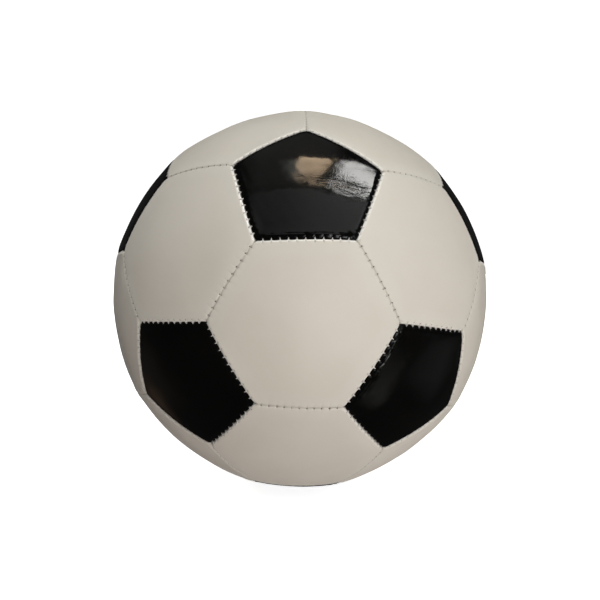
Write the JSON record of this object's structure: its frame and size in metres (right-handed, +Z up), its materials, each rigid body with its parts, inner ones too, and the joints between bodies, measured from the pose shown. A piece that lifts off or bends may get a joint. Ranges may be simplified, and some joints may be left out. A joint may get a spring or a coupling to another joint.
{
  "type": "soccer ball",
  "caption": "Stitched soccer ball with black pentagon and white hexagon panels, foam and fabric backings, thread seams, a rubber bladder and a valve for a needle.",
  "frame": {"origin": "centre of the ball", "axes": "+Y out through the valve, at the middle of one hexagon panel; -Y out through the middle of the opposite hexagon panel; +Z up, towards the pentagon above that front panel"},
  "size_m": [0.2204, 0.218, 0.2196],
  "materials": {
    "pentagon_cover": "gloss",
    "hexagon_cover": "satin",
    "foam": "matte",
    "lining": "matte",
    "thread": "matte",
    "bladder_rubber": "satin",
    "valve_rubber": "satin",
    "core_rubber": "satin"
  },
  "bodies": {
    "ball": {"pentagon_panel_01": "pentagon_cover", "pentagon_panel_02": "pentagon_cover", "pentagon_panel_03": "pentagon_cover", "pentagon_panel_04": "pentagon_cover", "pentagon_panel_05": "pentagon_cover", "pentagon_panel_06": "pentagon_cover", "pentagon_panel_07": "pentagon_cover", "pentagon_panel_08": "pentagon_cover", "pentagon_panel_09": "pentagon_cover", "pentagon_panel_10": "pentagon_cover", "pentagon_panel_11": "pentagon_cover", "pentagon_panel_12": "pentagon_cover", "hexagon_panel_01": "hexagon_cover", "hexagon_panel_02": "hexagon_cover", "hexagon_panel_03": "hexagon_cover", "hexagon_panel_04": "hexagon_cover", "hexagon_panel_05": "hexagon_cover", "hexagon_panel_06": "hexagon_cover", "hexagon_panel_07": "hexagon_cover", "hexagon_panel_08": "hexagon_cover", "hexagon_panel_09": "hexagon_cover", "hexagon_panel_10": "hexagon_cover", "hexagon_panel_11": "hexagon_cover", "hexagon_panel_12": "hexagon_cover", "hexagon_panel_13": "hexagon_cover", "hexagon_panel_14": "hexagon_cover", "hexagon_panel_15": "hexagon_cover", "hexagon_panel_16": "hexagon_cover", "hexagon_panel_17": "hexagon_cover", "hexagon_panel_18": "hexagon_cover", "hexagon_panel_19": "hexagon_cover", "hexagon_panel_20": "hexagon_cover", "pentagon_foam_backings": "foam", "hexagon_foam_backings": "foam", "pentagon_linings": "lining", "hexagon_linings": "lining", "pentagon_seam_thread_01": "thread", "pentagon_seam_thread_02": "thread", "pentagon_seam_thread_03": "thread", "pentagon_seam_thread_04": "thread", "pentagon_seam_thread_05": "thread", "pentagon_seam_thread_06": "thread", "pentagon_seam_thread_07": "thread", "pentagon_seam_thread_08": "thread", "pentagon_seam_thread_09": "thread", "pentagon_seam_thread_10": "thread", "pentagon_seam_thread_11": "thread", "pentagon_seam_thread_12": "thread", "hexagon_seam_threads": "thread", "bladder": "bladder_rubber", "bladder_patch": "bladder_rubber", "valve_body": "valve_rubber", "valve_hole_ring": "lining"},
    "core": {"valve_core": "core_rubber"}
  },
  "joints": [
    {"name": "valve_core_pull", "type": "slide", "parent": "ball", "child": "core", "axis": [0, 1, 0], "range_m": [0, 0.02]}
  ]
}
